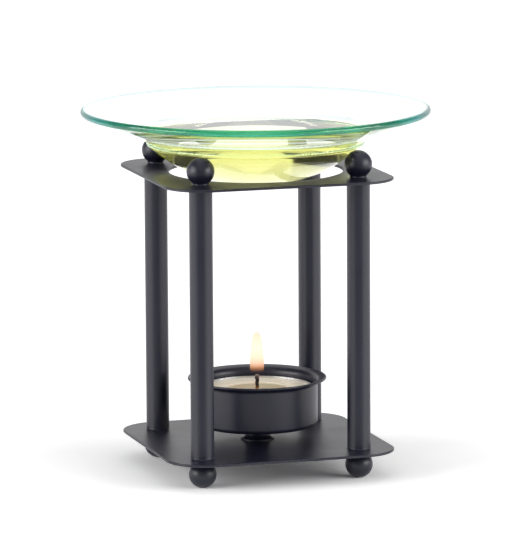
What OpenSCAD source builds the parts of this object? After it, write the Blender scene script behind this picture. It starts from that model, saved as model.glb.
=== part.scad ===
// Oil warmer: a glass dish of scented oil stands on four balls over a tealight.
// Millimetres, +Z up, front towards -Y. The origin is the centre of the feet's bottom plane.

/* [Frame] */
// Side of both square plates
plate_w = 81; // [76:0.5:96]
// Corner radius of both plates, seen from above
plate_corner_r = 14; // [8:0.5:18]
// Sheet thickness of both plates
plate_t = 0.9; // [0.6:0.1:2]
// Round hole in the top plate that the well of the dish dips into
top_hole_d = 60; // [54:0.5:66]
// Distance between the centres of neighbouring posts
post_spacing = 56; // [53:0.5:60]
// Diameter of each post
post_d = 8; // [5:0.5:10]
// Length of each post between the two plates
post_l = 93.2; // [70:0.1:130]

/* [Balls] */
// Diameter of the foot balls and of the balls that carry the dish
ball_d = 9.5; // [8:0.1:11]
// Diameter of the flat where a ball is welded to its plate
weld_flat_d = 2.4; // [1.6:0.1:3.2]
// Diameter of the worn flat that a foot ball stands on
foot_flat_d = 2; // [1.2:0.1:3]

/* [Glass dish] */
// Outer diameter of the rim
dish_d = 120.6; // [110:0.2:140]
// Thickness of the glass
glass_t = 2.3; // [1.8:0.1:3]
// Radius of the round well, measured on the underside
well_curve_r = 55; // [50:0.5:66]
// Distance from the balls' seat out to the shoulder of the well
seat_to_shoulder = 1.5; // [1.4:0.1:3]
// Radius of the bead of glass that runs round the shoulder
bead_r = 0.4; // [0.2:0.05:0.5]
// Length of the straight neck above the shoulder
neck_l = 3.2; // [2:0.1:6]
// Rise of the neck, in degrees from level
neck_rise = 45; // [38:1:55]
// Radius of the bend from the neck into the rim, on the underside
flare_bend_r = 5; // [3:0.5:9]
// Rise of the wide rim, in degrees from level
rim_rise = 20; // [10:1:30]
// Gap between the dish and each ball at the seat
seat_gap = 0.25; // [0.2:0.05:0.4]

/* [Scented oil] */
// How far the oil lies below the top of the neck, inside the dish
oil_below_neck_top = 0.25; // [0.2:0.05:0.8]
// Gap between the oil and the glass
oil_gap = 0.1; // [0.05:0.01:0.2]

/* [Candle cup] */
// Gap all round between the tealight and the cup's wall
cup_clearance = 0.7; // [0.4:0.1:3]
// Height of the cup over its lip
cup_h = 16.8; // [14:0.1:22]
// Sheet thickness of the cup
cup_t = 0.8; // [0.5:0.1:1]
// Outer radius of the corner between floor and wall
cup_corner_r = 1.6; // [1.2:0.1:3]
// How far the flared lip stands out from the wall
lip_out = 3.1; // [2.6:0.1:6]
// Radius of the bend from the wall into the lip, on the outside
lip_bend_r = 1.6; // [1:0.1:2]
// Turn of that bend, in degrees away from upright
lip_turn = 75; // [60:1:85]

/* [Cup pedestal] */
// Height of the spool between the base plate and the cup
pedestal_h = 5.1; // [4:0.1:12]
// Diameter of the spool's two ends
pedestal_d = 11.7; // [9:0.1:16]
// Diameter of the spool's waist
pedestal_waist_d = 8; // [5:0.1:8.6]
// Height of the straight edge at each end of the spool
pedestal_edge_h = 0.35; // [0.2:0.05:0.6]

/* [Tealight] */
// Diameter over the rolled rim of the tealight's aluminium can
can_d = 39; // [37:0.1:41]
// Height of the can
can_h = 12.6; // [10:0.1:16]
// Wall thickness of the can
can_t = 0.3; // [0.2:0.05:0.5]
// Outer radius of the can's bottom corner
can_corner_r = 1.2; // [0.8:0.1:2]
// How far the rolled rim stands out from the can's wall
can_roll = 0.4; // [0.3:0.05:0.6]
// How far the wax lies below the rim of the can
wax_below_rim = 0.6; // [0.3:0.1:3]
// Depth of the melted pool round the wick
wax_pool_depth = 0.3; // [0.2:0.05:1]
// Diameter of the melted pool
wax_pool_d = 24; // [16:0.5:32]
// Gap between the wax and what it is cast round
wax_gap = 0.1; // [0.05:0.01:0.15]
// Diameter of the wick
wick_d = 1.4; // [1:0.1:2]
// Length of wick that stands out of the wax
wick_out = 4.8; // [3:0.1:8]
// Diameter of the wick's metal foot
sustainer_d = 12; // [8:0.5:16]
// Sheet thickness of the wick's metal foot
sustainer_t = 0.3; // [0.2:0.05:0.5]
// Height of the crimped collar on that foot
collar_h = 4; // [2:0.1:5]
// Gap between the wick and its collar
wick_gap = 0.05; // [0.02:0.01:0.1]

/* [Hidden] */

// Facets of every round piece
round_fn = 96;
// Steps along a quarter turn in an outline, and along the wide curve of the well
corner_steps = 6;
well_steps = 12;
// How far a cut runs past what it cuts
overrun = 0.5;
// Wick tip, as shares of the wick's diameter: its width and its height
tip_width_share = 0.6;
tip_height_share = 0.5;

black = [0.13, 0.13, 0.15];

// Height by which a flat of diameter flat_d shortens a ball
function flat_depth(flat_d) = ball_d / 2 - sqrt(pow(ball_d / 2, 2) - pow(flat_d / 2, 2));

// Points of an arc round (cx, cy), from angle a to angle b in degrees
function arc(cx, cy, r, a, b, steps) =
    [for (i = [0 : steps]) let (t = a + (b - a) * i / steps) [cx + r * cos(t), cy + r * sin(t)]];

// Heights of the frame, from the feet up
base_z = ball_d - flat_depth(foot_flat_d) - flat_depth(weld_flat_d);
post_z = base_z + plate_t;
top_z = post_z + post_l;
rest_z = top_z + plate_t;
rest_centre_z = rest_z + ball_d / 2 - flat_depth(weld_flat_d);
foot_centre_z = ball_d / 2 - flat_depth(foot_flat_d);

// The well is a cap of a sphere that touches the four balls
ball_axis_r = post_spacing / sqrt(2);
seat_reach = well_curve_r + ball_d / 2 + seat_gap;
well_centre_z = rest_centre_z + sqrt(pow(seat_reach, 2) - pow(ball_axis_r, 2));
seat_r = ball_axis_r * well_curve_r / seat_reach;
shoulder_r = seat_r + seat_to_shoulder;
shoulder_a = asin(shoulder_r / well_curve_r);
shoulder_z = well_centre_z - well_curve_r * cos(shoulder_a);
well_inner_r = well_curve_r - glass_t;

// Centre of the bend above the neck, which lies below and outside the glass
bend_x = shoulder_r + neck_l * cos(neck_rise) + flare_bend_r * sin(neck_rise);
bend_z = shoulder_z + neck_l * sin(neck_rise) - flare_bend_r * cos(neck_rise);
// Centre of the round edge of the rim
edge_x = (dish_d - glass_t) / 2;
edge_reach = flare_bend_r + glass_t / 2;
edge_z = bend_z + edge_reach * cos(rim_rise)
    + (edge_x - bend_x + edge_reach * sin(rim_rise)) * tan(rim_rise);

// The oil keeps its gap from the glass all the way: it fills the well, then the neck nearly to its top
oil_r = well_inner_r - oil_gap;
oil_bend_r = flare_bend_r + glass_t + oil_gap;
oil_shoulder = [oil_r * sin(shoulder_a), well_centre_z - oil_r * cos(shoulder_a)];
oil_neck_top = [bend_x - oil_bend_r * sin(neck_rise), bend_z + oil_bend_r * cos(neck_rise)];
oil_z = bend_z + (flare_bend_r + glass_t) * cos(neck_rise) - oil_below_neck_top;
oil_neck_share = (oil_z - oil_shoulder[1]) / (oil_neck_top[1] - oil_shoulder[1]);
oil_edge = oil_shoulder + (oil_neck_top - oil_shoulder) * oil_neck_share;

// Candle cup and tealight
cup_z = post_z + pedestal_h;
can_z = cup_z + cup_t;
wax_floor_z = can_z + can_t + wax_gap;
wax_z = can_z + can_h - wax_below_rim;
pool_z = wax_z - wax_pool_depth;
can_wall_r = can_d / 2 - can_roll;
wax_r = can_wall_r - can_t - wax_gap;
sustainer_z = can_z + can_t;
collar_bore_r = wick_d / 2 + wick_gap;
collar_r = collar_bore_r + sustainer_t;
wick_z = sustainer_z + sustainer_t;

// Outline of a plate: a square with round corners
function plate_outline() = let (c = plate_w / 2 - plate_corner_r, steps = 2 * corner_steps)
    concat(arc(c, c, plate_corner_r, 0, 90, steps),
        arc(-c, c, plate_corner_r, 90, 180, steps),
        arc(-c, -c, plate_corner_r, 180, 270, steps),
        arc(c, -c, plate_corner_r, 270, 360, steps));

module place(side_x, side_y, z) {
    translate([side_x * post_spacing / 2, side_y * post_spacing / 2, z]) children();
}

module base_plate() {
    color(black) translate([0, 0, base_z]) linear_extrude(plate_t) polygon(plate_outline());
}

module top_plate() {
    color(black) difference() {
        translate([0, 0, top_z]) linear_extrude(plate_t) polygon(plate_outline());
        translate([0, 0, top_z - overrun])
            cylinder(h = plate_t + 2 * overrun, d = top_hole_d, $fn = round_fn);
    }
}

// Turned rod between the plates
module post(side_x, side_y) {
    color(black) place(side_x, side_y, post_z) cylinder(h = post_l, d = post_d, $fn = round_fn);
}

// Steel ball with its weld flat up and its worn flat down
module foot_ball(side_x, side_y) {
    color(black) intersection() {
        place(side_x, side_y, foot_centre_z) sphere(d = ball_d, $fn = round_fn);
        place(side_x, side_y, 0) cylinder(h = base_z, d = ball_d + 2 * overrun, $fn = round_fn);
    }
}

// Steel ball with its weld flat down
module rest_ball(side_x, side_y) {
    color(black) intersection() {
        place(side_x, side_y, rest_centre_z) sphere(d = ball_d, $fn = round_fn);
        place(side_x, side_y, rest_z)
            cylinder(h = ball_d + overrun, d = ball_d + 2 * overrun, $fn = round_fn);
    }
}

// Turned spool with a hollow waist: its ends seat on the plate and under the cup
module cup_pedestal() {
    half_h = pedestal_h / 2 - pedestal_edge_h;
    hollow = (pedestal_d - pedestal_waist_d) / 2;
    hollow_r = (pow(half_h, 2) + pow(hollow, 2)) / (2 * hollow);
    hollow_a = asin(half_h / hollow_r);
    hollow_x = pedestal_waist_d / 2 + hollow_r;
    color(black) translate([0, 0, post_z]) rotate_extrude($fn = round_fn) polygon(concat(
        [[0, 0], [pedestal_d / 2, 0]],
        arc(hollow_x, pedestal_h / 2, hollow_r, 180 + hollow_a, 180 - hollow_a, 2 * corner_steps),
        [[pedestal_d / 2, pedestal_h], [0, pedestal_h]]));
}

// Drawn steel cup: round floor corner, upright wall, flared lip with a round edge
module candle_cup() {
    wall_r = can_d / 2 + cup_clearance + cup_t;
    corner_x = wall_r - cup_corner_r;
    lip_x = wall_r + lip_bend_r;
    tip_x = wall_r + lip_out - cup_t / 2;
    tip_z = cup_h - cup_t / 2;
    mid_bend_r = lip_bend_r + cup_t / 2;
    tip_rise = (tip_x - lip_x + mid_bend_r * cos(lip_turn)) / tan(lip_turn);
    bend_z = tip_z - tip_rise - mid_bend_r * sin(lip_turn);
    color(black) translate([0, 0, cup_z]) rotate_extrude($fn = round_fn) polygon(concat(
        [[0, 0]],
        arc(corner_x, cup_corner_r, cup_corner_r, -90, 0, corner_steps),
        arc(lip_x, bend_z, lip_bend_r, 180, 180 - lip_turn, corner_steps),
        arc(tip_x, tip_z, cup_t / 2, -lip_turn, 180 - lip_turn, corner_steps),
        arc(lip_x, bend_z, lip_bend_r + cup_t, 180 - lip_turn, 180, corner_steps),
        arc(corner_x, cup_corner_r, cup_corner_r - cup_t, 0, -90, corner_steps),
        [[0, cup_t]]));
}

// Slumped glass: round well, beaded shoulder, neck, bend, wide rim and round edge, and back inside
module glass_dish() {
    bead_a = 2 * asin(bead_r / (2 * well_curve_r));
    well_a = shoulder_a - bead_a;
    color([0.75, 0.9, 0.85, 0.4]) rotate_extrude($fn = round_fn) polygon(concat(
        arc(0, well_centre_z, well_curve_r, -90, well_a - 90, well_steps),
        arc(shoulder_r, shoulder_z, bead_r, shoulder_a - 150, neck_rise, corner_steps),
        arc(bend_x, bend_z, flare_bend_r, 90 + neck_rise, 90 + rim_rise, corner_steps),
        arc(edge_x, edge_z, glass_t / 2, rim_rise - 90, rim_rise + 90, 3 * corner_steps),
        arc(bend_x, bend_z, flare_bend_r + glass_t, 90 + rim_rise, 90 + neck_rise, corner_steps),
        arc(0, well_centre_z, well_inner_r, shoulder_a - 90, -90, well_steps)));
}

// Liquid that fills the well and the neck, level on top
module scented_oil() {
    color([0.85, 0.88, 0.35, 0.6]) rotate_extrude($fn = round_fn) polygon(concat(
        arc(0, well_centre_z, oil_r, -90, shoulder_a - 90, well_steps),
        [oil_edge, [0, oil_z]]));
}

// Drawn aluminium can with a rolled rim
module tealight_can() {
    corner_x = can_wall_r - can_corner_r;
    roll_z = can_h - can_roll;
    color([0.8, 0.81, 0.82]) translate([0, 0, can_z]) rotate_extrude($fn = round_fn) polygon(concat(
        [[0, 0]],
        arc(corner_x, can_corner_r, can_corner_r, -90, 0, corner_steps),
        arc(can_wall_r, roll_z, can_roll, -90, 90, corner_steps),
        [[can_wall_r - can_t, can_h]],
        arc(corner_x, can_corner_r, can_corner_r - can_t, 0, -90, corner_steps),
        [[0, can_t]]));
}

// Cast wax with its melted pool, open for the wick and its foot
module tealight_wax() {
    corner_r = can_corner_r - can_t - wax_gap;
    pool_r = wax_pool_d / 2;
    bore_r = wick_d / 2 + wax_gap;
    foot_r = sustainer_d / 2 + wax_gap;
    foot_z = wick_z + wax_gap;
    hub_r = collar_r + wax_gap;
    hub_z = wick_z + collar_h + wax_gap;
    color([0.93, 0.89, 0.79]) rotate_extrude($fn = round_fn) polygon(concat(
        [[foot_r, wax_floor_z]],
        arc(wax_r - corner_r, wax_floor_z + corner_r, corner_r, -90, 0, corner_steps),
        [[wax_r, wax_z], [pool_r + wax_pool_depth, wax_z], [pool_r, pool_z], [bore_r, pool_z],
            [bore_r, hub_z], [hub_r, hub_z], [hub_r, foot_z], [foot_r, foot_z]]));
}

// Stamped steel foot with the collar that is crimped round the wick
module wick_sustainer() {
    color([0.7, 0.7, 0.72]) translate([0, 0, sustainer_z]) rotate_extrude($fn = round_fn) polygon([
        [0, 0], [sustainer_d / 2, 0], [sustainer_d / 2, sustainer_t], [collar_r, sustainer_t],
        [collar_r, sustainer_t + collar_h], [collar_bore_r, sustainer_t + collar_h],
        [collar_bore_r, sustainer_t], [0, sustainer_t]]);
}

// Braided cotton wick with a burnt, rounded tip
module wick() {
    length = pool_z + wick_out - wick_z;
    shaft = length - wick_d * tip_height_share;
    color([0.1, 0.09, 0.09]) translate([0, 0, wick_z]) rotate_extrude($fn = round_fn) polygon([
        [0, 0], [wick_d / 2, 0], [wick_d / 2, shaft], [wick_d / 2 * tip_width_share, length], [0, length]]);
}

base_plate();
top_plate();
post(-1, -1);  // post_front_left
post(1, -1);  // post_front_right
post(-1, 1);  // post_back_left
post(1, 1);  // post_back_right
foot_ball(-1, -1);  // foot_ball_front_left
foot_ball(1, -1);  // foot_ball_front_right
foot_ball(-1, 1);  // foot_ball_back_left
foot_ball(1, 1);  // foot_ball_back_right
rest_ball(-1, -1);  // rest_ball_front_left
rest_ball(1, -1);  // rest_ball_front_right
rest_ball(-1, 1);  // rest_ball_back_left
rest_ball(1, 1);  // rest_ball_back_right
cup_pedestal();
candle_cup();
glass_dish();
scented_oil();
tealight_can();
tealight_wax();
wick_sustainer();
wick();
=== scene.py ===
import math

import bmesh
import bpy
from mathutils import Matrix, Vector


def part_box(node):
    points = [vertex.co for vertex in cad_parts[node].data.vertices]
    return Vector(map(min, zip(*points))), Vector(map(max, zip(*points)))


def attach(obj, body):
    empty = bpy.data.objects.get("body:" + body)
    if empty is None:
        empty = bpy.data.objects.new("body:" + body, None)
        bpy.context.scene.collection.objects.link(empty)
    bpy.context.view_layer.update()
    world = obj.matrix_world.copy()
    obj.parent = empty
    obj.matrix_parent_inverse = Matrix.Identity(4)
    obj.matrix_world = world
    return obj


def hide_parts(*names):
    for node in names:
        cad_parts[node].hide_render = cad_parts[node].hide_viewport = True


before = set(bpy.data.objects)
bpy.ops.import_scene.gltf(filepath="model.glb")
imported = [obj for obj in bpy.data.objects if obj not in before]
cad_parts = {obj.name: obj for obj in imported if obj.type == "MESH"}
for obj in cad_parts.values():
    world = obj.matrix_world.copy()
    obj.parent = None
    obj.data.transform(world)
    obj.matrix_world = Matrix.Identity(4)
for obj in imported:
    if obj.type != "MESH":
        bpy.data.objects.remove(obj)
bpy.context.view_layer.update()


# Base plate. A blank of 0.9 mm mild steel sheet with round corners, deburred, then powder coated satin
# black together with the whole welded frame. It carries the four posts and the cup, and stands on four feet.
PLATE_HALF = 40.5
PLATE_CORNER_R = 14.0
PLATE_STEPS = 32
SHEET_EDGE_R = 0.3
SHEET_EDGE_STEPS = 6
FLAT_MARGIN = 0.4


def linear(hex_colour):
    """sRGB hex to linear RGBA."""
    parts = [int(hex_colour[i:i + 2], 16) / 255 for i in (1, 3, 5)]
    return (*((p / 12.92 if p <= 0.04045 else ((p + 0.055) / 1.055) ** 2.4) for p in parts), 1.0)


def add_node(tree, kind, inputs=None, **settings):
    """Adds a node, sets its properties, and sets or links its inputs."""
    node = tree.nodes.new(kind)
    for name, value in settings.items():
        setattr(node, name, value)
    for name, value in (inputs or {}).items():
        if isinstance(value, bpy.types.NodeSocket):
            tree.links.new(value, node.inputs[name])
        else:
            node.inputs[name].default_value = value
    return node


def new_material(name):
    """An empty node material, and its tree."""
    material = bpy.data.materials.new(name)
    material.use_nodes = True
    material.node_tree.nodes.clear()
    return material, material.node_tree


def satin_powder_coat():
    """Polyester powder baked on steel: it levels to a faint 1.2 mm orange peel with a fine grain, so the
    near black, slightly blue film mirrors the room softly, and clearly at a low angle."""
    material, tree = new_material("satin black powder coat")
    place = add_node(tree, "ShaderNodeTexCoord").outputs["Object"]
    peel = add_node(tree, "ShaderNodeTexNoise", {"Vector": place, "Scale": 1 / 0.0012, "Detail": 2.0})
    grain = add_node(tree, "ShaderNodeTexNoise", {"Vector": place, "Scale": 1 / 0.0003, "Detail": 1.0})
    patches = add_node(tree, "ShaderNodeTexNoise", {"Vector": place, "Scale": 1 / 0.018, "Detail": 3.0})
    rough = add_node(tree, "ShaderNodeMapRange", {
        "Value": patches.outputs["Fac"], "From Min": 0.3, "From Max": 0.7, "To Min": 0.36, "To Max": 0.42})
    colour = add_node(tree, "ShaderNodeMix", {
        "Factor": patches.outputs["Fac"], "A": linear("#101020"), "B": linear("#171729")}, data_type="RGBA")
    coarse = add_node(tree, "ShaderNodeBump", {
        "Height": peel.outputs["Fac"], "Strength": 0.35, "Distance": 0.00003})
    fine = add_node(tree, "ShaderNodeBump", {
        "Height": grain.outputs["Fac"], "Normal": coarse.outputs["Normal"], "Strength": 0.3,
        "Distance": 0.00001})
    surface = add_node(tree, "ShaderNodeBsdfPrincipled", {
        "Base Color": colour.outputs["Result"], "Roughness": rough.outputs["Result"],
        "Normal": fine.outputs["Normal"]})
    add_node(tree, "ShaderNodeOutputMaterial", {"Surface": surface.outputs["BSDF"]})
    return material


powder_coat = satin_powder_coat()


def mesh_object(name, build):
    """A smooth shaded object from a bmesh that build fills in millimetres."""
    shape = bmesh.new()
    build(shape)
    bmesh.ops.scale(shape, vec=(0.001, 0.001, 0.001), verts=shape.verts)
    mesh = bpy.data.meshes.new(name)
    for face in shape.faces:
        face.smooth = True
    shape.to_mesh(mesh)
    shape.free()
    piece = bpy.data.objects.new(name, mesh)
    bpy.context.scene.collection.objects.link(piece)
    return piece


def plate_loop(inset):
    """The plate's outline, moved in by inset, with its straight sides divided."""
    centre, radius = PLATE_HALF - PLATE_CORNER_R, PLATE_CORNER_R - inset
    points = []
    for quarter, (sign_x, sign_y) in enumerate(((1, 1), (-1, 1), (-1, -1), (1, -1))):
        for step in range(PLATE_STEPS + 1):
            turn = math.radians(90 * quarter + 90 * step / PLATE_STEPS)
            points.append(Vector((sign_x * centre + radius * math.cos(turn),
                                  sign_y * centre + radius * math.sin(turn))))
        turn = math.radians(90 * quarter + 90)
        along = Vector((-math.sin(turn), math.cos(turn))) * 2 * centre
        points += [points[-1] + along * step / PLATE_STEPS for step in range(1, PLATE_STEPS)]
    return points


def half_round(radius, low, high):
    """Insets and heights of a sheet's rounded edge, from its underside to its top, with flat margins."""
    turns = [math.radians(90 * step / SHEET_EDGE_STEPS) for step in range(SHEET_EDGE_STEPS + 1)]
    return ([(radius + FLAT_MARGIN, low)]
            + [(radius * (1 - math.sin(t)), low + radius * (1 - math.cos(t))) for t in turns]
            + [(radius * (1 - math.cos(t)), high - radius * (1 - math.sin(t))) for t in turns]
            + [(radius + FLAT_MARGIN, high)])


def sheet_plate(name, node, hole_r=0.0):
    """A plate of sheet metal in the place of a CAD node, with an optional round hole."""
    low, high = (corner.z * 1000 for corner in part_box(node))

    def build(shape):
        loops = [[shape.verts.new((*p, z)) for p in plate_loop(inset)]
                 for inset, z in half_round(SHEET_EDGE_R, low, high)]
        if hole_r:
            ways = [p.normalized() for p in plate_loop(0)]
            loops += [[shape.verts.new((*(way * (hole_r + inset)), z)) for way in ways]
                      for inset, z in reversed(half_round(SHEET_EDGE_R, low, high))]
            loops.append(loops[0])
        else:
            shape.faces.new(reversed(loops[0]))
            shape.faces.new(loops[-1])
        for lower, upper in zip(loops, loops[1:]):
            for i in range(len(lower)):
                j = (i + 1) % len(lower)
                shape.faces.new((lower[i], lower[j], upper[j], upper[i]))
        bmesh.ops.recalc_face_normals(shape, faces=shape.faces)

    piece = mesh_object(name, build)
    piece.data.materials.append(powder_coat)
    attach(piece, "frame")
    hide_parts(node)


sheet_plate("base_sheet", "base_plate")


# Posts. Four cut lengths of 8 mm round rod, each end welded to a plate with a small even fillet that the
# powder coat covers. All four are alike, so one outline is turned and then set at the four corners.
POST_SPACING = 56.0
POST_R = 4.0
POST_FILLET_R = 0.4
SEAM_GAP = 0.001


def new_rule(name, inputs):
    """A geometry node tree, and what it is given: a form, the named inputs and a finish for the form."""
    tree = bpy.data.node_groups.new(name, "GeometryNodeTree")
    for given, kind in {"Form": "Geometry", **inputs, "Finish": "Material"}.items():
        tree.interface.new_socket(given, in_out="INPUT", socket_type="NodeSocket" + kind)
    tree.interface.new_socket("Made", in_out="OUTPUT", socket_type="NodeSocketGeometry")
    return tree, add_node(tree, "NodeGroupInput").outputs


def end_rule(tree, given, made):
    """Ends a rule: what it made becomes one real mesh with the finish that it was given."""
    real = add_node(tree, "GeometryNodeRealizeInstances", {"Geometry": made})
    finished = add_node(tree, "GeometryNodeSetMaterial", {
        "Geometry": real.outputs["Geometry"], "Material": given["Finish"]})
    add_node(tree, "NodeGroupOutput", {"Made": finished.outputs["Geometry"]})
    return tree


def lathe_tree():
    """Turns an outline in the XZ plane round Z, as a lathe or a spinning chuck does."""
    tree, given = new_rule("turned form", {"Steps Around": "Int", "Crease Angle": "Float"})
    count = add_node(tree, "GeometryNodeAttributeDomainSize", {"Geometry": given["Form"]},
                     component="MESH").outputs["Point Count"]
    around = add_node(tree, "ShaderNodeMath", {0: given["Steps Around"], 1: 1.0}, operation="ADD")
    grid = add_node(tree, "GeometryNodeMeshGrid", {"Vertices X": around.outputs[0], "Vertices Y": count})
    index = add_node(tree, "GeometryNodeInputIndex").outputs["Index"]
    share = add_node(tree, "ShaderNodeMath", {0: index, 1: count}, operation="DIVIDE")
    turn = add_node(tree, "ShaderNodeMath", {0: share.outputs[0]}, operation="FLOOR")
    along = add_node(tree, "ShaderNodeMath", {0: index, 1: count}, operation="MODULO")
    point = add_node(tree, "GeometryNodeSampleIndex", {
        "Geometry": given["Form"], "Index": along.outputs[0],
        "Value": add_node(tree, "GeometryNodeInputPosition").outputs["Position"]}, data_type="FLOAT_VECTOR")
    step = add_node(tree, "ShaderNodeMath", {0: math.tau, 1: given["Steps Around"]}, operation="DIVIDE")
    angle = add_node(tree, "ShaderNodeMath", {0: turn.outputs[0], 1: step.outputs[0]}, operation="MULTIPLY")
    turned = add_node(tree, "ShaderNodeVectorRotate", {
        "Vector": point.outputs["Value"], "Angle": angle.outputs[0]}, rotation_type="Z_AXIS")
    placed = add_node(tree, "GeometryNodeSetPosition", {
        "Geometry": grid.outputs["Mesh"], "Position": turned.outputs["Vector"]})
    closed = add_node(tree, "GeometryNodeMergeByDistance", {
        "Geometry": placed.outputs["Geometry"], "Distance": SEAM_GAP / 1000})
    smooth = add_node(tree, "GeometryNodeSetShadeSmooth", {"Geometry": closed.outputs["Geometry"]})
    bend = add_node(tree, "ShaderNodeMath", {
        0: add_node(tree, "GeometryNodeInputMeshEdgeAngle").outputs["Unsigned Angle"],
        1: given["Crease Angle"]}, operation="GREATER_THAN")
    creased = add_node(tree, "GeometryNodeSetShadeSmooth", {
        "Geometry": smooth.outputs["Geometry"], "Selection": bend.outputs[0], "Shade Smooth": False},
        domain="EDGE")
    return end_rule(tree, given, creased.outputs["Geometry"])


def corners_tree():
    """Sets copies of a form at the four corners of a square."""
    tree, given = new_rule("four corners", {"Spacing": "Float"})
    corners = add_node(tree, "GeometryNodeMeshGrid", {
        "Size X": given["Spacing"], "Size Y": given["Spacing"], "Vertices X": 2, "Vertices Y": 2})
    copies = add_node(tree, "GeometryNodeInstanceOnPoints", {
        "Points": corners.outputs["Mesh"], "Instance": given["Form"]})
    return end_rule(tree, given, copies.outputs["Instances"])


lathe, four_corners = lathe_tree(), corners_tree()


def add_rule(piece, tree, values):
    """Puts a node tree on a piece, with its named inputs set."""
    rule = piece.modifiers.new(tree.name, "NODES")
    rule.node_group = tree
    for socket in tree.interface.items_tree:
        if socket.in_out == "INPUT" and socket.name in values:
            rule[socket.identifier] = values[socket.name]


def make_plain(piece):
    """Replaces a piece's mesh by what its rules make of it, with its faces pointing out."""
    seen = piece.evaluated_get(bpy.context.evaluated_depsgraph_get())
    mesh = bpy.data.meshes.new_from_object(seen)
    piece.modifiers.clear()
    piece.data = mesh
    mesh.name = piece.name
    shape = bmesh.new()
    shape.from_mesh(mesh)
    if shape.calc_volume(signed=True) < 0:
        bmesh.ops.reverse_faces(shape, faces=shape.faces)
        shape.to_mesh(mesh)
    shape.free()
    return piece


def arc(centre_x, centre_z, radius, start, end, steps=12):
    """Points of an arc, from angle start to angle end in degrees."""
    turns = [math.radians(start + (end - start) * i / steps) for i in range(steps + 1)]
    return [(centre_x + radius * math.cos(t), centre_z + radius * math.sin(t)) for t in turns]


def turned_piece(name, outline, finish, steps=128, crease=40.0, spacing=None):
    """A turned form from an outline in millimetres, once on the Z axis or at the four corners."""
    piece = mesh_object(name, lambda shape: None)
    piece.data.from_pydata([(x / 1000, 0, z / 1000) for x, z in outline],
                           [(i, i + 1) for i in range(len(outline) - 1)], [])
    add_rule(piece, lathe, {"Steps Around": steps, "Crease Angle": math.radians(crease), "Finish": finish})
    if spacing:
        add_rule(piece, four_corners, {"Spacing": spacing / 1000, "Finish": finish})
    return make_plain(piece)


post_low, post_high = (corner.z * 1000 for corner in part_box("post_front_left"))
fillet_x = POST_R + POST_FILLET_R
posts = turned_piece("post_rods", [
    (0, post_low),
    *arc(fillet_x, post_low + POST_FILLET_R, POST_FILLET_R, -90, -180, 6),
    *arc(fillet_x, post_high - POST_FILLET_R, POST_FILLET_R, 180, 90, 6),
    (0, post_high)], powder_coat, steps=64, spacing=POST_SPACING)
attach(posts, "frame")
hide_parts("post_front_left", "post_front_right", "post_back_left", "post_back_right")


# Foot balls. Four 9.5 mm steel balls welded under the base plate, with a small fillet round each weld and
# a spot worn flat where the ball stands.
BALL_R = 4.75
BALL_WELD_R = 3.3
FOOT_FLAT_R = 1.0


def ball_fillet(height):
    """Radius of the fillet between a ball and its plate, with the ball's centre at that height."""
    return (BALL_WELD_R ** 2 - BALL_R ** 2 + height ** 2) / (2 * (BALL_R + height))


base_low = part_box("base_plate")[0].z * 1000
foot_centre = math.sqrt(BALL_R ** 2 - FOOT_FLAT_R ** 2)
foot_height = base_low - foot_centre
foot_fillet = ball_fillet(foot_height)
foot_lean = math.degrees(math.atan2(foot_height - foot_fillet, BALL_WELD_R))
feet = turned_piece("foot_bearings", [
    (0, 0),
    *arc(0, foot_centre, BALL_R, -math.degrees(math.acos(FOOT_FLAT_R / BALL_R)), foot_lean, 32),
    *arc(BALL_WELD_R, base_low - foot_fillet, foot_fillet, 180 + foot_lean, 90, 8),
    (0, base_low)], powder_coat, steps=64, spacing=POST_SPACING)
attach(feet, "frame")
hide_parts("foot_ball_front_left", "foot_ball_front_right", "foot_ball_back_left",
            "foot_ball_back_right")


# Top plate. The same blank as the base plate with a 60 mm hole punched in it, which the well of the dish
# dips into and which lets the heat up. It lies on the posts, welded to each.
TOP_HOLE_R = 30.0

sheet_plate("top_sheet", "top_plate", TOP_HOLE_R)


# Rest balls. Four more of the same steel balls, welded on top of the top plate right over the posts. The
# dish lies loose on them, held by its own weight in the ring that they make.
top_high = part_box("top_plate")[1].z * 1000
rest_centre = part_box("rest_ball_front_left")[1].z * 1000 - BALL_R
rest_height = rest_centre - top_high
rest_fillet = ball_fillet(rest_height)
rest_lean = math.degrees(math.atan2(rest_height - rest_fillet, BALL_WELD_R))
rests = turned_piece("rest_bearings", [
    (0, top_high),
    *arc(BALL_WELD_R, top_high + rest_fillet, rest_fillet, -90, -180 - rest_lean, 8),
    *arc(0, rest_centre, BALL_R, -rest_lean, 90, 32)], powder_coat, steps=64, spacing=POST_SPACING)
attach(rests, "frame")
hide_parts("rest_ball_front_left", "rest_ball_front_right", "rest_ball_back_left",
            "rest_ball_back_right")


# Cup pedestal. A short spool turned from steel bar, with a hollow waist and a narrow straight edge at both
# ends. It is welded between the base plate and the cup, and coated with them.
SPOOL_R = 5.85
SPOOL_WAIST_R = 4.0
SPOOL_EDGE = 0.35

spool_low, spool_high = (corner.z * 1000 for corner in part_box("cup_pedestal"))
spool_half = (spool_high - spool_low) / 2 - SPOOL_EDGE
spool_hollow = SPOOL_R - SPOOL_WAIST_R
spool_bend_r = (spool_half ** 2 + spool_hollow ** 2) / (2 * spool_hollow)
spool_turn = math.degrees(math.asin(spool_half / spool_bend_r))
spool = turned_piece("turned_spool", [
    (0, spool_low), (SPOOL_R, spool_low),
    *arc(SPOOL_WAIST_R + spool_bend_r, (spool_low + spool_high) / 2, spool_bend_r,
         180 + spool_turn, 180 - spool_turn, 24),
    (SPOOL_R, spool_high), (0, spool_high)], powder_coat, steps=64)
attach(spool, "frame")
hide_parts("cup_pedestal")


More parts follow.
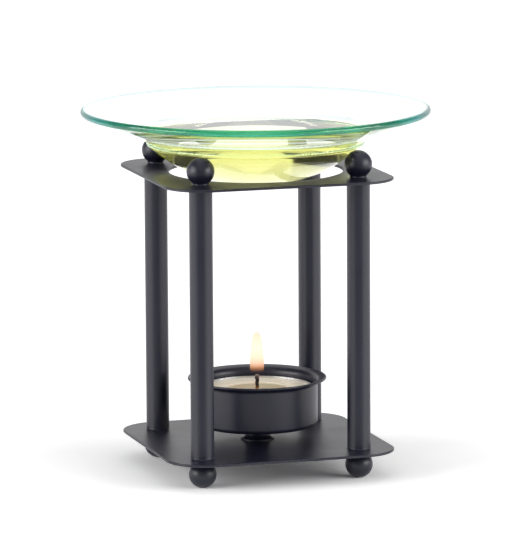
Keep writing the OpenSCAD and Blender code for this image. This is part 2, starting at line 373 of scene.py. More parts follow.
# Candle cup. Deep drawn from 0.8 mm steel sheet, its mouth rolled outward to a flared lip with a rounded
# edge, then welded to the spool and coated with the rest of the frame.
CUP_WALL_R = 21.0
CUP_SHEET = 0.8
CUP_CORNER_R = 1.6
CUP_LIP_BEND_R = 1.6
CUP_LIP_TURN = 75.0

cup_low, cup_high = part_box("candle_cup")
cup_tip_x = cup_high.x * 1000 - CUP_SHEET / 2
cup_tip_z = cup_high.z * 1000 - CUP_SHEET / 2
cup_floor = cup_low.z * 1000
cup_bend_x = CUP_WALL_R + CUP_LIP_BEND_R
cup_mid_r = CUP_LIP_BEND_R + CUP_SHEET / 2
lip_turn = math.radians(CUP_LIP_TURN)
cup_bend_z = (cup_tip_z - (cup_tip_x - cup_bend_x + cup_mid_r * math.cos(lip_turn)) / math.tan(lip_turn)
              - cup_mid_r * math.sin(lip_turn))
cup = turned_piece("drawn_cup", [
    (0, cup_floor),
    *arc(CUP_WALL_R - CUP_CORNER_R, cup_floor + CUP_CORNER_R, CUP_CORNER_R, -90, 0),
    *arc(cup_bend_x, cup_bend_z, CUP_LIP_BEND_R, 180, 180 - CUP_LIP_TURN),
    *arc(cup_tip_x, cup_tip_z, CUP_SHEET / 2, -CUP_LIP_TURN, 180 - CUP_LIP_TURN),
    *arc(cup_bend_x, cup_bend_z, CUP_LIP_BEND_R + CUP_SHEET, 180 - CUP_LIP_TURN, 180),
    *arc(CUP_WALL_R - CUP_CORNER_R, cup_floor + CUP_CORNER_R, CUP_CORNER_R - CUP_SHEET, 0, -90),
    (0, cup_floor + CUP_SHEET)], powder_coat)
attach(cup, "frame")
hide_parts("candle_cup")


# Tealight can. Drawn from 0.3 mm soft aluminium foil, so its wall carries the fine upright wrinkles that
# the draw leaves, and its mouth is rolled outward. It stands loose in the cup.
CAN_ROLL = 0.4
CAN_FOIL = 0.3
CAN_CORNER_R = 1.2
CAN_RINGS = (2, 4, 6, 8)
CAN_WRINKLES = 60
CAN_WRINKLE_DEPTH = 0.04
CAN_WRINKLE_LOW = 3.0
CAN_WRINKLE_BELOW_TOP = 1.5
CAN_WRINKLE_WITHIN = 0.8


def bright_foil():
    """Drawn aluminium foil: bright grey metal whose rolling and drawing marks smear the reflections."""
    material, tree = new_material("drawn aluminium foil")
    place = add_node(tree, "ShaderNodeTexCoord").outputs["Object"]
    upright = add_node(tree, "ShaderNodeMapping", {"Vector": place, "Scale": (1.0, 1.0, 0.06)})
    marks = add_node(tree, "ShaderNodeTexNoise", {
        "Vector": upright.outputs["Vector"], "Scale": 1 / 0.0004, "Detail": 3.0})
    rough = add_node(tree, "ShaderNodeMapRange", {
        "Value": marks.outputs["Fac"], "From Min": 0.3, "From Max": 0.7, "To Min": 0.24, "To Max": 0.38})
    bumps = add_node(tree, "ShaderNodeBump", {
        "Height": marks.outputs["Fac"], "Strength": 0.4, "Distance": 0.00003})
    surface = add_node(tree, "ShaderNodeBsdfPrincipled", {
        "Base Color": linear("#d9dadc"), "Metallic": 1.0, "Roughness": rough.outputs["Result"],
        "Normal": bumps.outputs["Normal"]})
    add_node(tree, "ShaderNodeOutputMaterial", {"Surface": surface.outputs["BSDF"]})
    return material


def wrinkle_tree():
    """Moves a drawn wall in and out by a wave round Z, most at the low height and not at the high one."""
    tree, given = new_rule("drawn wrinkles", {
        "Count": "Float", "Depth": "Float", "Low": "Float", "High": "Float", "Inner Radius": "Float"})
    place = add_node(tree, "GeometryNodeInputPosition").outputs["Position"]
    parts = add_node(tree, "ShaderNodeSeparateXYZ", {"Vector": place})
    flat = add_node(tree, "ShaderNodeVectorMath", {0: place, 1: (1.0, 1.0, 0.0)}, operation="MULTIPLY")
    reach = add_node(tree, "ShaderNodeVectorMath", {0: flat.outputs["Vector"]}, operation="LENGTH")
    way = add_node(tree, "ShaderNodeVectorMath", {0: flat.outputs["Vector"]}, operation="NORMALIZE")
    angle = add_node(tree, "ShaderNodeMath", {0: parts.outputs["Y"], 1: parts.outputs["X"]},
                     operation="ARCTAN2")
    phase = add_node(tree, "ShaderNodeMath", {0: angle.outputs[0], 1: given["Count"]}, operation="MULTIPLY")
    wave = add_node(tree, "ShaderNodeMath", {0: phase.outputs[0]}, operation="SINE")
    rise = add_node(tree, "ShaderNodeMapRange", {
        "Value": parts.outputs["Z"], "From Min": given["Low"], "From Max": given["High"],
        "To Min": 1.0, "To Max": 0.0})
    outer = add_node(tree, "ShaderNodeMath", {0: reach.outputs["Value"], 1: given["Inner Radius"]},
                     operation="GREATER_THAN")
    size = add_node(tree, "ShaderNodeMath", {0: rise.outputs["Result"], 1: outer.outputs[0]},
                    operation="MULTIPLY")
    depth = add_node(tree, "ShaderNodeMath", {0: size.outputs[0], 1: given["Depth"]}, operation="MULTIPLY")
    move = add_node(tree, "ShaderNodeMath", {0: wave.outputs[0], 1: depth.outputs[0]}, operation="MULTIPLY")
    offset = add_node(tree, "ShaderNodeVectorMath", {0: way.outputs["Vector"], "Scale": move.outputs[0]},
                      operation="SCALE")
    placed = add_node(tree, "GeometryNodeSetPosition", {
        "Geometry": given["Form"], "Offset": offset.outputs["Vector"]})
    return end_rule(tree, given, placed.outputs["Geometry"])


foil = bright_foil()
can_low, can_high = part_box("tealight_can")
can_floor, can_top = can_low.z * 1000, can_high.z * 1000
can_wall = can_high.x * 1000 - CAN_ROLL
can_corner_x, can_corner_z = can_wall - CAN_CORNER_R, can_floor + CAN_CORNER_R
can = turned_piece("foil_can", [
    (0, can_floor),
    *arc(can_corner_x, can_corner_z, CAN_CORNER_R, -90, 0),
    *[(can_wall, can_corner_z + z) for z in CAN_RINGS],
    *arc(can_wall, can_top - CAN_ROLL, CAN_ROLL, -90, 90),
    (can_wall - CAN_FOIL, can_top),
    *[(can_wall - CAN_FOIL, can_corner_z + z) for z in reversed(CAN_RINGS)],
    *arc(can_corner_x, can_corner_z, CAN_CORNER_R - CAN_FOIL, 0, -90),
    (0, can_floor + CAN_FOIL)], foil, steps=360)
add_rule(can, wrinkle_tree(), {
    "Count": CAN_WRINKLES, "Depth": CAN_WRINKLE_DEPTH / 1000, "Finish": foil,
    "Low": (can_floor + CAN_WRINKLE_LOW) / 1000, "High": (can_top - CAN_WRINKLE_BELOW_TOP) / 1000,
    "Inner Radius": (can_wall - CAN_WRINKLE_WITHIN) / 1000})
make_plain(can)
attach(can, "tealight")
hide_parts("tealight_can")


# Wick sustainer. A round foot stamped from tinned steel sheet with a collar drawn up in its middle and
# crimped on the wick. It lies on the floor of the can under the wax.
def tinned_steel():
    """Tinplate: a bright, faintly yellowish metal with the soft grain of the rolled tin."""
    material, tree = new_material("stamped tinplate")
    place = add_node(tree, "ShaderNodeTexCoord").outputs["Object"]
    grain = add_node(tree, "ShaderNodeTexNoise", {"Vector": place, "Scale": 1 / 0.0006, "Detail": 3.0})
    rough = add_node(tree, "ShaderNodeMapRange", {
        "Value": grain.outputs["Fac"], "From Min": 0.3, "From Max": 0.7, "To Min": 0.22, "To Max": 0.36})
    surface = add_node(tree, "ShaderNodeBsdfPrincipled", {
        "Base Color": linear("#c9c6bf"), "Metallic": 1.0, "Roughness": rough.outputs["Result"]})
    add_node(tree, "ShaderNodeOutputMaterial", {"Surface": surface.outputs["BSDF"]})
    return material


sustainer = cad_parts["wick_sustainer"]
sustainer.material_slots[0].material = tinned_steel()


# Wick. Three plies of cotton yarn twisted together and primed with wax, burnt black where it stands out of
# the pool, brown and wet at its foot, with its plies opening at the glowing tip.
WICK_PLIES = 3
WICK_PLY_R = 0.33
WICK_TWIST_R = 0.34
WICK_TURNS = 2.6
WICK_POINTS = 60
WICK_WET_Z = 27.2
WICK_ASH_Z = 32.6


def set_stops(ramp, steps):
    """Sets a colour ramp's stops from places and hex colours."""
    stops = ramp.color_ramp.elements
    stops[0].position, stops[0].color = steps[0][0], linear(steps[0][1])
    stops[1].position, stops[1].color = steps[-1][0], linear(steps[-1][1])
    for position, colour in steps[1:-1]:
        stop = stops.new(position)
        stop.color = linear(colour)


def charred_cotton():
    """Burnt cotton yarn: dull black char, soaked brown by wax at the foot, grey ash on the plies' tips."""
    material, tree = new_material("charred cotton yarn")
    place = add_node(tree, "ShaderNodeTexCoord").outputs["Object"]
    height = add_node(tree, "ShaderNodeSeparateXYZ", {"Vector": place}).outputs["Z"]
    share = add_node(tree, "ShaderNodeMapRange", {
        "Value": height, "From Min": WICK_WET_Z / 1000, "From Max": WICK_ASH_Z / 1000})
    ramp = add_node(tree, "ShaderNodeValToRGB", {"Fac": share.outputs["Result"]})
    set_stops(ramp, ((0.0, "#b98d4a"), (0.16, "#8a5a20"), (0.3, "#241a14"), (0.72, "#15110f"),
                     (0.86, "#3d3531"), (1.0, "#8d8079")))
    fibres = add_node(tree, "ShaderNodeTexNoise", {"Vector": place, "Scale": 1 / 0.00015, "Detail": 4.0})
    bumps = add_node(tree, "ShaderNodeBump", {
        "Height": fibres.outputs["Fac"], "Strength": 0.8, "Distance": 0.00008})
    surface = add_node(tree, "ShaderNodeBsdfPrincipled", {
        "Base Color": ramp.outputs["Color"], "Roughness": 0.85, "Normal": bumps.outputs["Normal"]})
    add_node(tree, "ShaderNodeOutputMaterial", {"Surface": surface.outputs["BSDF"]})
    return material


def twisted_tree():
    """Twists plies round a path that runs up Z, and lets them open towards the tip."""
    tree, given = new_rule("twisted plies", {
        "Plies": "Int", "Ply Radius": "Float", "Twist Radius": "Float", "Turns": "Float"})
    plies = add_node(tree, "GeometryNodeDuplicateElements", {
        "Geometry": given["Form"], "Amount": given["Plies"]}, domain="SPLINE")
    share = add_node(tree, "GeometryNodeSplineParameter").outputs["Factor"]
    each = add_node(tree, "ShaderNodeMath", {0: plies.outputs["Duplicate Index"], 1: given["Plies"]},
                    operation="DIVIDE")
    twist = add_node(tree, "ShaderNodeMath", {0: share, 1: given["Turns"], 2: each.outputs[0]},
                     operation="MULTIPLY_ADD")
    angle = add_node(tree, "ShaderNodeMath", {0: twist.outputs[0], 1: math.tau}, operation="MULTIPLY")
    opening = add_node(tree, "ShaderNodeMapRange", {
        "Value": share, "From Min": 0.82, "From Max": 1.0, "To Min": 1.0, "To Max": 1.5})
    reach = add_node(tree, "ShaderNodeMath", {0: given["Twist Radius"], 1: opening.outputs["Result"]},
                     operation="MULTIPLY")
    arm = add_node(tree, "ShaderNodeCombineXYZ", {"X": reach.outputs[0]})
    offset = add_node(tree, "ShaderNodeVectorRotate", {
        "Vector": arm.outputs["Vector"], "Angle": angle.outputs[0]}, rotation_type="Z_AXIS")
    placed = add_node(tree, "GeometryNodeSetPosition", {
        "Geometry": plies.outputs["Geometry"], "Offset": offset.outputs["Vector"]})
    ring = add_node(tree, "GeometryNodeCurvePrimitiveCircle", {
        "Resolution": 12, "Radius": given["Ply Radius"]})
    tubes = add_node(tree, "GeometryNodeCurveToMesh", {
        "Curve": placed.outputs["Geometry"], "Profile Curve": ring.outputs["Curve"], "Fill Caps": True})
    smooth = add_node(tree, "GeometryNodeSetShadeSmooth", {"Geometry": tubes.outputs["Mesh"]})
    return end_rule(tree, given, smooth.outputs["Geometry"])


wick_low, wick_high = (corner.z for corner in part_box("wick"))
wick_path = bpy.data.curves.new("wick_path", "CURVE")
wick_path.dimensions = "3D"
wick_line = wick_path.splines.new("POLY")
wick_line.points.add(WICK_POINTS - 1)
for number, point in enumerate(wick_line.points):
    point.co = (0, 0, wick_low + (wick_high - wick_low) * number / (WICK_POINTS - 1), 1)
wick_guide = bpy.data.objects.new("wick_guide", wick_path)
bpy.context.scene.collection.objects.link(wick_guide)
add_rule(wick_guide, twisted_tree(), {
    "Plies": WICK_PLIES, "Ply Radius": WICK_PLY_R / 1000, "Twist Radius": WICK_TWIST_R / 1000,
    "Turns": WICK_TURNS, "Finish": charred_cotton()})
wick_mesh = bpy.data.meshes.new_from_object(
    wick_guide.evaluated_get(bpy.context.evaluated_depsgraph_get()))
bpy.data.objects.remove(wick_guide)
wick = bpy.data.objects.new("twisted_wick", wick_mesh)
bpy.context.scene.collection.objects.link(wick)
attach(wick, "tealight")
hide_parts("wick")


# Wax. Cream paraffin cast in the can round the wick and its foot. The flame has melted a shallow clear pool
# round the wick, and the wax creeps up a little at the wick and at the foil.
WAX_CORNER_R = 0.8
WAX_WICK_R = 0.9
WAX_COLLAR_R = 1.15
WAX_FOOT_R = 6.1
WAX_FOOT_TOP = 0.4
WAX_COLLAR_TOP = 4.4
WAX_COLLAR_CONE = 0.8
WAX_STEPS = 80
WAX_POOL_R = 12.0
WAX_POOL_DEPTH = 0.3
WAX_SHORE = 4.0
WAX_WET_R = 12.5
WAX_SET_R = 15.5
WAX_CREEP = 0.25
WAX_CREEP_WIDTH = 0.6


def paraffin():
    """Paraffin: milky and softly lit from inside, dull where it is set, wet and yellower in the pool."""
    material, tree = new_material("cast paraffin")
    place = add_node(tree, "ShaderNodeTexCoord").outputs["Object"]
    flat = add_node(tree, "ShaderNodeVectorMath", {0: place, 1: (1.0, 1.0, 0.0)}, operation="MULTIPLY")
    reach = add_node(tree, "ShaderNodeVectorMath", {0: flat.outputs["Vector"]}, operation="LENGTH")
    wobble = add_node(tree, "ShaderNodeTexNoise", {"Vector": place, "Scale": 1 / 0.006, "Detail": 2.0})
    spread = add_node(tree, "ShaderNodeMath", {0: wobble.outputs["Fac"], 1: 0.004, 2: reach.outputs["Value"]},
                      operation="MULTIPLY_ADD")
    wet = add_node(tree, "ShaderNodeMapRange", {
        "Value": spread.outputs[0], "From Min": WAX_WET_R / 1000, "From Max": WAX_SET_R / 1000,
        "To Min": 1.0, "To Max": 0.0})
    colour = add_node(tree, "ShaderNodeMix", {
        "Factor": wet.outputs["Result"], "A": linear("#f5e6d0"), "B": linear("#f5e2c0")}, data_type="RGBA")
    rough = add_node(tree, "ShaderNodeMapRange", {
        "Value": wet.outputs["Result"], "To Min": 0.42, "To Max": 0.06})
    bumps = add_node(tree, "ShaderNodeBump", {
        "Height": wobble.outputs["Fac"], "Strength": 0.25, "Distance": 0.0002})
    surface = add_node(tree, "ShaderNodeBsdfPrincipled", {
        "Base Color": colour.outputs["Result"], "Roughness": rough.outputs["Result"],
        "Subsurface Weight": 0.5, "Subsurface Radius": (1.0, 0.7, 0.4), "Subsurface Scale": 0.003,
        "IOR": 1.43, "Normal": bumps.outputs["Normal"]})
    add_node(tree, "ShaderNodeOutputMaterial", {"Surface": surface.outputs["BSDF"]})
    return material


wax_low, wax_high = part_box("tealight_wax")
wax_floor, wax_top, wax_r = wax_low.z * 1000, wax_high.z * 1000, wax_high.x * 1000


def wax_point(share):
    """Point of the wax's top at a share of the way from the wick to the can."""
    r = WAX_WICK_R + (wax_r - WAX_WICK_R) * share
    shore = min(1, max(0, (WAX_POOL_R + WAX_SHORE / 2 - r) / WAX_SHORE))
    pool = WAX_POOL_DEPTH * (0.5 - 0.5 * math.cos(math.pi * shore))
    creep = math.exp(-(r - WAX_WICK_R) / WAX_CREEP_WIDTH) + math.exp(-(wax_r - r) / WAX_CREEP_WIDTH)
    return r, wax_top - pool + WAX_CREEP * (creep - 1)


wax_bore_end = (WAX_WICK_R, wax_floor + WAX_COLLAR_TOP + WAX_COLLAR_CONE)
wax = turned_piece("cast_wax", [
    wax_bore_end,
    (WAX_COLLAR_R, wax_floor + WAX_COLLAR_TOP),
    (WAX_COLLAR_R, wax_floor + WAX_FOOT_TOP),
    (WAX_FOOT_R, wax_floor + WAX_FOOT_TOP),
    (WAX_FOOT_R, wax_floor),
    *arc(wax_r - WAX_CORNER_R, wax_floor + WAX_CORNER_R, WAX_CORNER_R, -90, 0, 8),
    *[wax_point(i / WAX_STEPS) for i in range(WAX_STEPS, -1, -1)],
    wax_bore_end], paraffin(), steps=160)
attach(wax, "tealight")
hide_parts("tealight_wax")


# Flame. Burning wax vapour over the wick: no solid, so the frame has no node for it. It is see-through and
# orange brown over the wick, peach above that, and pale yellow in its body.
FLAME_FOOT = 33.2
FLAME_TIP = 47.9
FLAME_R = 2.42


def candle_flame():
    """Glowing soot: light comes out evenly all over, and the low part hardly hides what is behind it."""
    material, tree = new_material("candle flame")
    place = add_node(tree, "ShaderNodeTexCoord").outputs["Object"]
    height = add_node(tree, "ShaderNodeSeparateXYZ", {"Vector": place}).outputs["Z"]
    share = add_node(tree, "ShaderNodeMapRange", {
        "Value": height, "From Min": FLAME_FOOT / 1000, "From Max": FLAME_TIP / 1000})
    colour = add_node(tree, "ShaderNodeValToRGB", {"Fac": share.outputs["Result"]})
    set_stops(colour, ((0.0, "#8a4418"), (0.12, "#e29a66"), (0.2, "#fbc2a0"), (0.28, "#ffd8b6"),
                       (0.38, "#fff0d0"), (0.6, "#fff8e0"), (0.84, "#fdf0d2"), (1.0, "#fdd9ae")))
    cover = add_node(tree, "ShaderNodeValToRGB", {"Fac": share.outputs["Result"]})
    set_stops(cover, ((0.0, "#000000"), (0.06, "#484848"), (0.12, "#a0a0a0"), (0.2, "#d8d8d8"),
                      (0.3, "#f0f0f0"), (0.85, "#e8e8e8"), (1.0, "#a0a0a0")))
    surface = add_node(tree, "ShaderNodeBsdfPrincipled", {
        "Base Color": (0.0, 0.0, 0.0, 1.0), "Specular IOR Level": 0.0, "Roughness": 1.0,
        "Emission Color": colour.outputs["Color"], "Emission Strength": 1.1,
        "Alpha": cover.outputs["Color"]})
    add_node(tree, "ShaderNodeOutputMaterial", {"Surface": surface.outputs["BSDF"]})
    return material


# Shares of the flame's radius, and heights over its foot
flame_shape = [(0.0, 0.0), (0.35, 0.03), (0.8, 0.25), (0.95, 0.7), (1.0, 1.6), (1.0, 3.0), (0.99, 4.5),
               (0.96, 5.8), (0.92, 7.0), (0.88, 8.2), (0.84, 9.4), (0.78, 10.5), (0.71, 11.5), (0.62, 12.5),
               (0.5, 13.3), (0.35, 14.0), (0.17, 14.5), (0.0, FLAME_TIP - FLAME_FOOT)]
flame = turned_piece("flame", [(FLAME_R * x, FLAME_FOOT + z) for x, z in flame_shape], candle_flame(),
                     steps=48, crease=180.0)
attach(flame, "tealight")


# Glass dish. A disc of 2.3 mm float glass slumped into a mould: a round well, a beaded shoulder, a steep
# neck and a wide flat rim. Its edge is ground round and polished, and shows the green of the thick glass.
GLASS = 2.3
WELL_R = 55.0
BEAD_TURN = 42.85
BEAD_INSET = 0.625
BEAD_R = 0.684
BEAD_END = 41.8
NECK_R = 37.65
NECK_FOOT = 15.737
NECK_LENGTH = 3.088
NECK_RISE = 37.0
BEND_R = 5.0
RIM_RISE = 20.0
EDGE_GREEN_FROM_R = 59.1
EDGE_GREEN_FULL_R = 59.3


def float_glass():
    """Soda lime float glass: clear through its face, and green at the ground edge. Light that comes in there
    then runs a long way in the glass, so it is greener than light that only leaves there."""
    material, tree = new_material("slumped float glass")
    place = add_node(tree, "ShaderNodeTexCoord").outputs["Object"]
    flat = add_node(tree, "ShaderNodeVectorMath", {0: place, 1: (1.0, 1.0, 0.0)}, operation="MULTIPLY")
    reach = add_node(tree, "ShaderNodeVectorMath", {0: flat.outputs["Vector"]}, operation="LENGTH")
    edge = add_node(tree, "ShaderNodeMapRange", {
        "Value": reach.outputs["Value"], "From Min": EDGE_GREEN_FROM_R / 1000,
        "From Max": EDGE_GREEN_FULL_R / 1000})
    leaving = add_node(tree, "ShaderNodeNewGeometry").outputs["Backfacing"]
    depth = add_node(tree, "ShaderNodeMapRange", {"Value": leaving, "To Min": 1.0, "To Max": 0.55})
    green = add_node(tree, "ShaderNodeMath", {0: edge.outputs["Result"], 1: depth.outputs["Result"]},
                     operation="MULTIPLY")
    ripple = add_node(tree, "ShaderNodeTexNoise", {"Vector": place, "Scale": 1 / 0.004, "Detail": 2.0})
    ground = add_node(tree, "ShaderNodeMix", {
        "Factor": ripple.outputs["Fac"], "A": linear("#0a8688"), "B": linear("#189c9e")}, data_type="RGBA")
    tint = add_node(tree, "ShaderNodeMix", {
        "Factor": green.outputs[0], "A": linear("#ffffff"), "B": ground.outputs["Result"]},
        data_type="RGBA")
    rough = add_node(tree, "ShaderNodeMapRange", {
        "Value": edge.outputs["Result"], "To Min": 0.0, "To Max": 0.12})
    surface = add_node(tree, "ShaderNodeBsdfPrincipled", {
        "Base Color": tint.outputs["Result"], "Roughness": rough.outputs["Result"], "IOR": 1.52,
        "Transmission Weight": 1.0})
    inside = add_node(tree, "ShaderNodeVolumeAbsorption", {"Color": linear("#90f4f0"), "Density": 7.0})
    add_node(tree, "ShaderNodeOutputMaterial", {
        "Surface": surface.outputs["BSDF"], "Volume": inside.outputs["Volume"]})
    return material


dish_low, dish_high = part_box("glass_dish")
well_centre = dish_low.z * 1000 + WELL_R
bead_reach = WELL_R - BEAD_INSET
bead_x = bead_reach * math.sin(math.radians(BEAD_TURN))
bead_z = well_centre - bead_reach * math.cos(math.radians(BEAD_TURN))
bead_start = math.acos((WELL_R ** 2 - bead_reach ** 2 - BEAD_R ** 2) / (2 * bead_reach * BEAD_R))
well_turn = BEAD_TURN - math.degrees(math.asin(BEAD_R * math.sin(bead_start) / WELL_R))
neck, rim = math.radians(NECK_RISE), math.radians(RIM_RISE)
bend_x = NECK_R + NECK_LENGTH * math.cos(neck) + BEND_R * math.sin(neck)
bend_z = dish_low.z * 1000 + NECK_FOOT + NECK_LENGTH * math.sin(neck) - BEND_R * math.cos(neck)
edge_x = dish_high.x * 1000 - GLASS / 2
edge_reach = BEND_R + GLASS / 2
edge_z = bend_z + edge_reach * math.cos(rim) + (edge_x - bend_x + edge_reach * math.sin(rim)) * math.tan(rim)
inner_r = WELL_R - GLASS
inner_reach = inner_r + BEND_R
inner_fall = (well_centre - edge_z) * math.cos(rim) + edge_x * math.sin(rim) - GLASS / 2 + BEND_R
inner_turn = RIM_RISE + math.degrees(math.acos(inner_fall / inner_reach))
inner_x = inner_reach * math.sin(math.radians(inner_turn))
inner_z = well_centre - inner_reach * math.cos(math.radians(inner_turn))
dish = turned_piece("slumped_dish", [
    *arc(0, well_centre, WELL_R, -90, well_turn - 90, 48),
    *arc(bead_x, bead_z, BEAD_R, BEAD_TURN - 90 - math.degrees(bead_start), BEAD_END, 16)[1:],
    *arc(bend_x, bend_z, BEND_R, 90 + NECK_RISE, 90 + RIM_RISE, 12),
    *arc(edge_x, edge_z, GLASS / 2, RIM_RISE - 90, RIM_RISE + 90, 24),
    *arc(inner_x, inner_z, BEND_R, 90 + RIM_RISE, 90 + inner_turn, 12),
    *arc(0, well_centre, inner_r, inner_turn - 90, -90, 48)[1:]], float_glass(), steps=256)
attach(dish, "dish")
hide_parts("glass_dish")


# Scented oil. A pale yellow-green fragrance oil poured in over the shoulder and nearly up to the top of the
# neck. It wets the glass, so its outline runs a hair into the dish, and it climbs the wall a little.
OIL_WETTING = 0.03
OIL_CLIMB = 0.5
OIL_CLIMB_WIDTH = 1.3
OIL_STEPS = 60


def fragrance_oil():
    """Clear oil: it bends light nearly as the glass does, and its yellow deepens with the path through it."""
    material, tree = new_material("fragrance oil")
    place = add_node(tree, "ShaderNodeTexCoord").outputs["Object"]
    swirl = add_node(tree, "ShaderNodeTexNoise", {"Vector": place, "Scale": 1 / 0.02, "Detail": 1.0})
    tint = add_node(tree, "ShaderNodeMix", {
        "Factor": swirl.outputs["Fac"], "A": linear("#fffff8"), "B": linear("#fffff2")}, data_type="RGBA")
    surface = add_node(tree, "ShaderNodeBsdfPrincipled", {
        "Base Color": tint.outputs["Result"], "Roughness": 0.0, "IOR": 1.42, "Transmission Weight": 1.0})
    inside = add_node(tree, "ShaderNodeVolumeAbsorption", {"Color": linear("#fffd70"), "Density": 18.0})
    add_node(tree, "ShaderNodeOutputMaterial", {
        "Surface": surface.outputs["BSDF"], "Volume": inside.outputs["Volume"]})
    return material


oil_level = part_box("scented_oil")[1].z * 1000
oil_bend_r = BEND_R - OIL_WETTING
oil_lean = 180 - math.degrees(math.asin((oil_level + OIL_CLIMB - inner_z) / oil_bend_r))
oil_wall = [*arc(0, well_centre, inner_r + OIL_WETTING, -90, inner_turn - 90, 48),
            *arc(inner_x, inner_z, oil_bend_r, 90 + inner_turn, oil_lean, 8)[1:]]
oil_edge = oil_wall[-1][0]
oil_steps = [oil_edge * (1 - (i / OIL_STEPS) ** 2) for i in range(1, OIL_STEPS + 1)]
oil = turned_piece("oil_fill", [
    *oil_wall,
    *[(x, oil_level + OIL_CLIMB * math.exp(-(oil_edge - x) / OIL_CLIMB_WIDTH)) for x in oil_steps]],
    fragrance_oil(), steps=256)
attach(oil, "dish")
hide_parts("scented_oil")


# Studio. White paper under the object, a white sheet behind it, a white panel overhead and two soft boxes, in
# a room that gloss and glass show as dark above and towards the camera. Matt surfaces get its even light.
PAPER_R = 900
PAPER_BACK = 650
# The paper's lift is lower near the object than away from it: painted shade round the object.
PAPER_SHADOW_R = 60
PAPER_SHADOW_LIFT = 1.24
PAPER_WHITE_R = 500
PAPER_WHITE_LIFT = 1.76
ROOM_TURN = 16.8
ROOM_DARK = 0.05
ROOM_MATT = 0.55
PANEL_MIDDLE = 0.09
PANEL_SIDE = (0.49, 0.53)
PANEL_WHITE = 1.15
SHEET_SIDE = (0.72, 0.78)
SHEET_TOP = (0.52, 0.56)
WALL_TOP = (0.17, 0.27)
FRONT_DEPTH = (-0.05, 0.05)
FRONT_SIDE = (0.5, 0.8)
BOX_DISTANCE = 1.0
BOX_RISE = 16
BOX_WIDTH = 0.8
BOX_HEIGHT = 0.5
BOX_WATTS = 7.5
BOX_AIM_Z = 0.06


def white_paper():
    """Matt white paper. Seen by the camera, or in gloss and glass, it is lifted so that it fades to white
    away from the object's shadow. Near the object it is lifted less, which paints shade round the object."""
    material, tree = new_material("white background paper")
    ray = add_node(tree, "ShaderNodeLightPath").outputs
    first = add_node(tree, "ShaderNodeMath", {0: ray["Is Camera Ray"], 1: ray["Is Glossy Ray"]},
                     operation="MAXIMUM")
    seen = add_node(tree, "ShaderNodeMath", {0: first.outputs[0], 1: ray["Is Transmission Ray"]},
                    operation="MAXIMUM")
    place = add_node(tree, "ShaderNodeTexCoord").outputs["Object"]
    reach = add_node(tree, "ShaderNodeVectorMath", {0: place}, operation="LENGTH")
    # Painted shade: the paper is lifted less near the object, so it renders darker round the object.
    lift_with_painted_shade = add_node(tree, "ShaderNodeMapRange", {
        "Value": reach.outputs["Value"], "From Min": PAPER_SHADOW_R / 1000, "From Max": PAPER_WHITE_R / 1000,
        "To Min": PAPER_SHADOW_LIFT, "To Max": PAPER_WHITE_LIFT})
    colour = add_node(tree, "ShaderNodeMix", {
        "Factor": seen.outputs[0], "A": (0.8, 0.8, 0.8, 1.0), "B": lift_with_painted_shade.outputs["Result"]}, data_type="RGBA")
    surface = add_node(tree, "ShaderNodeBsdfDiffuse", {"Color": colour.outputs["Result"]})
    add_node(tree, "ShaderNodeOutputMaterial", {"Surface": surface.outputs["BSDF"]})
    return material


paper_place = Matrix.Rotation(math.radians(-ROOM_TURN), 4, "Z") @ Matrix.Translation((0, PAPER_BACK, 0))
paper = mesh_object("paper", lambda shape: bmesh.ops.create_circle(
    shape, cap_ends=True, segments=96, radius=PAPER_R, matrix=paper_place))
paper.data.materials.append(white_paper())


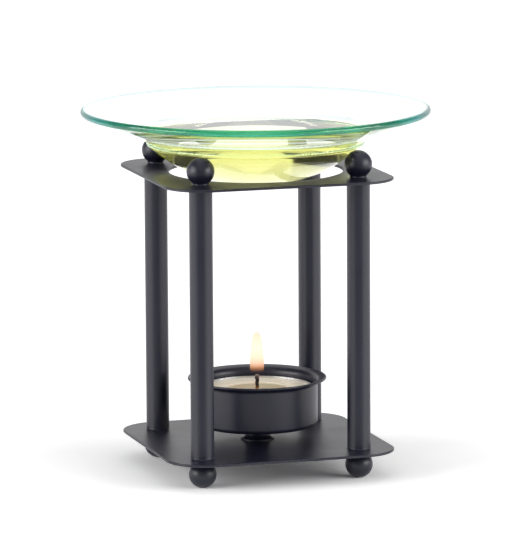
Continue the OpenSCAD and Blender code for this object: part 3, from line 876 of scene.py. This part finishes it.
def white_room():
    """The room by the direction in which it is seen, with Y away from the camera. Each pair of values is
    where a part starts to fade and where it has ended."""
    world = bpy.data.worlds.new("white room")
    world.use_nodes = True
    tree = world.node_tree
    tree.nodes.clear()
    ray = add_node(tree, "ShaderNodeLightPath").outputs
    seen_way = add_node(tree, "ShaderNodeTexCoord").outputs["Generated"]
    way = add_node(tree, "ShaderNodeVectorRotate", {
        "Vector": seen_way, "Angle": math.radians(ROOM_TURN)}, rotation_type="Z_AXIS")
    at = add_node(tree, "ShaderNodeSeparateXYZ", {"Vector": way.outputs["Vector"]}).outputs
    overhead = add_node(tree, "ShaderNodeMath", {0: at["X"], 1: at["Z"]}, operation="DIVIDE")
    aside = add_node(tree, "ShaderNodeMath", {0: overhead.outputs[0], 1: PANEL_MIDDLE}, operation="SUBTRACT")
    panel_side = add_node(tree, "ShaderNodeMath", {0: aside.outputs[0]}, operation="ABSOLUTE").outputs[0]
    across = add_node(tree, "ShaderNodeMath", {0: at["X"], 1: at["Y"]}, operation="DIVIDE")
    side = add_node(tree, "ShaderNodeMath", {0: across.outputs[0]}, operation="ABSOLUTE").outputs[0]
    part = {}
    for name, value, (start, end) in (
            ("panel", panel_side, PANEL_SIDE), ("sheet width", side, SHEET_SIDE),
            ("sheet height", at["Z"], SHEET_TOP), ("wall height", at["Z"], WALL_TOP),
            ("front depth", at["Y"], FRONT_DEPTH), ("front width", side, FRONT_SIDE)):
        fade = add_node(tree, "ShaderNodeMapRange", {
            "Value": value, "From Min": start, "From Max": end, "To Min": 1.0, "To Max": 0.0})
        part[name] = fade.outputs["Result"]
    panel = add_node(tree, "ShaderNodeMath", {0: part["panel"], 1: PANEL_WHITE}, operation="MULTIPLY")
    sheet = add_node(tree, "ShaderNodeMath", {
        0: part["sheet width"], 1: part["sheet height"]}, operation="MULTIPLY")
    around = add_node(tree, "ShaderNodeMath", {
        0: sheet.outputs[0], 1: part["wall height"]}, operation="MAXIMUM")
    front = add_node(tree, "ShaderNodeMath", {
        0: part["front depth"], 1: part["front width"]}, operation="MULTIPLY")
    not_front = add_node(tree, "ShaderNodeMath", {0: 1.0, 1: front.outputs[0]}, operation="SUBTRACT")
    dark_front = add_node(tree, "ShaderNodeMath", {
        0: around.outputs[0], 1: not_front.outputs[0]}, operation="MULTIPLY")
    walls = add_node(tree, "ShaderNodeMix", {
        "Factor": ray["Is Transmission Ray"], "A": dark_front.outputs[0], "B": around.outputs[0]})
    white = add_node(tree, "ShaderNodeMath", {
        0: panel.outputs[0], 1: walls.outputs["Result"]}, operation="MAXIMUM")
    shown = add_node(tree, "ShaderNodeMath", {0: white.outputs[0], 1: ROOM_DARK}, operation="MAXIMUM")
    mirrored = add_node(tree, "ShaderNodeMath", {
        0: ray["Is Glossy Ray"], 1: ray["Is Transmission Ray"]}, operation="MAXIMUM")
    even = add_node(tree, "ShaderNodeMath", {
        0: ray["Is Camera Ray"], 1: 1 - ROOM_MATT, 2: ROOM_MATT}, operation="MULTIPLY_ADD")
    level = add_node(tree, "ShaderNodeMix", {
        "Factor": mirrored.outputs[0], "A": even.outputs[0], "B": shown.outputs[0]})
    room = add_node(tree, "ShaderNodeBackground", {
        "Color": (1.0, 1.0, 1.0, 1.0), "Strength": level.outputs["Result"]})
    add_node(tree, "ShaderNodeOutputWorld", {"Surface": room.outputs["Background"]})
    return world


bpy.context.scene.world = white_room()


def soft_box(name, azimuth):
    """A wide lamp that looks at the object. Azimuth 0 is in front, and positive to the right."""
    lamp = bpy.data.lights.new(name, "AREA")
    lamp.shape, lamp.size, lamp.size_y, lamp.energy = "RECTANGLE", BOX_WIDTH, BOX_HEIGHT, BOX_WATTS
    place = bpy.data.objects.new(name, lamp)
    turn, rise = math.radians(azimuth), math.radians(BOX_RISE)
    at = Vector((math.sin(turn) * math.cos(rise), -math.cos(turn) * math.cos(rise), math.sin(rise)))
    place.matrix_world = (Matrix.Translation(at * BOX_DISTANCE + Vector((0, 0, BOX_AIM_Z)))
                          @ at.to_track_quat("Z", "Y").to_matrix().to_4x4())
    place.visible_camera = False
    bpy.context.scene.collection.objects.link(place)


soft_box("soft_box_right", 50)
soft_box("soft_box_left", -84)


# Camera. A long lens at table height, 17 degrees to the left of the front, as the photograph was taken.
CAMERA_AZIMUTH = -16.795
CAMERA_DISTANCE = 1.7444
CAMERA_HEIGHT = 0.3564
CAMERA_PITCH = 9.452
CAMERA_ROLL = -0.331
FOCAL_PIXELS = 5115.7
PICTURE_HEIGHT = 559
SENSOR = 36.0
BOUNCES_IN_GLASS = 48

turn, pitch, roll = (math.radians(v) for v in (CAMERA_AZIMUTH, CAMERA_PITCH, CAMERA_ROLL))
forward = Vector((-math.sin(turn) * math.cos(pitch), math.cos(turn) * math.cos(pitch), -math.sin(pitch)))
level_right = Vector((math.cos(turn), math.sin(turn), 0))
level_up = level_right.cross(forward)
right = math.cos(roll) * level_right + math.sin(roll) * level_up
up = -math.sin(roll) * level_right + math.cos(roll) * level_up
camera_data = bpy.data.cameras.new("camera")
camera_data.sensor_fit, camera_data.sensor_width = "AUTO", SENSOR
camera_data.lens = FOCAL_PIXELS * SENSOR / PICTURE_HEIGHT
camera_data.clip_end = 20.0
camera = bpy.data.objects.new("camera", camera_data)
bpy.context.scene.collection.objects.link(camera)
place = Matrix((right, up, -forward)).transposed().to_4x4()
place.translation = (CAMERA_DISTANCE * math.sin(turn), -CAMERA_DISTANCE * math.cos(turn), CAMERA_HEIGHT)
camera.matrix_world = place
bpy.context.scene.camera = camera
bpy.context.scene.view_settings.view_transform = "Standard"
for limit in ("max_bounces", "transmission_bounces", "glossy_bounces"):
    setattr(bpy.context.scene.cycles, limit, BOUNCES_IN_GLASS)
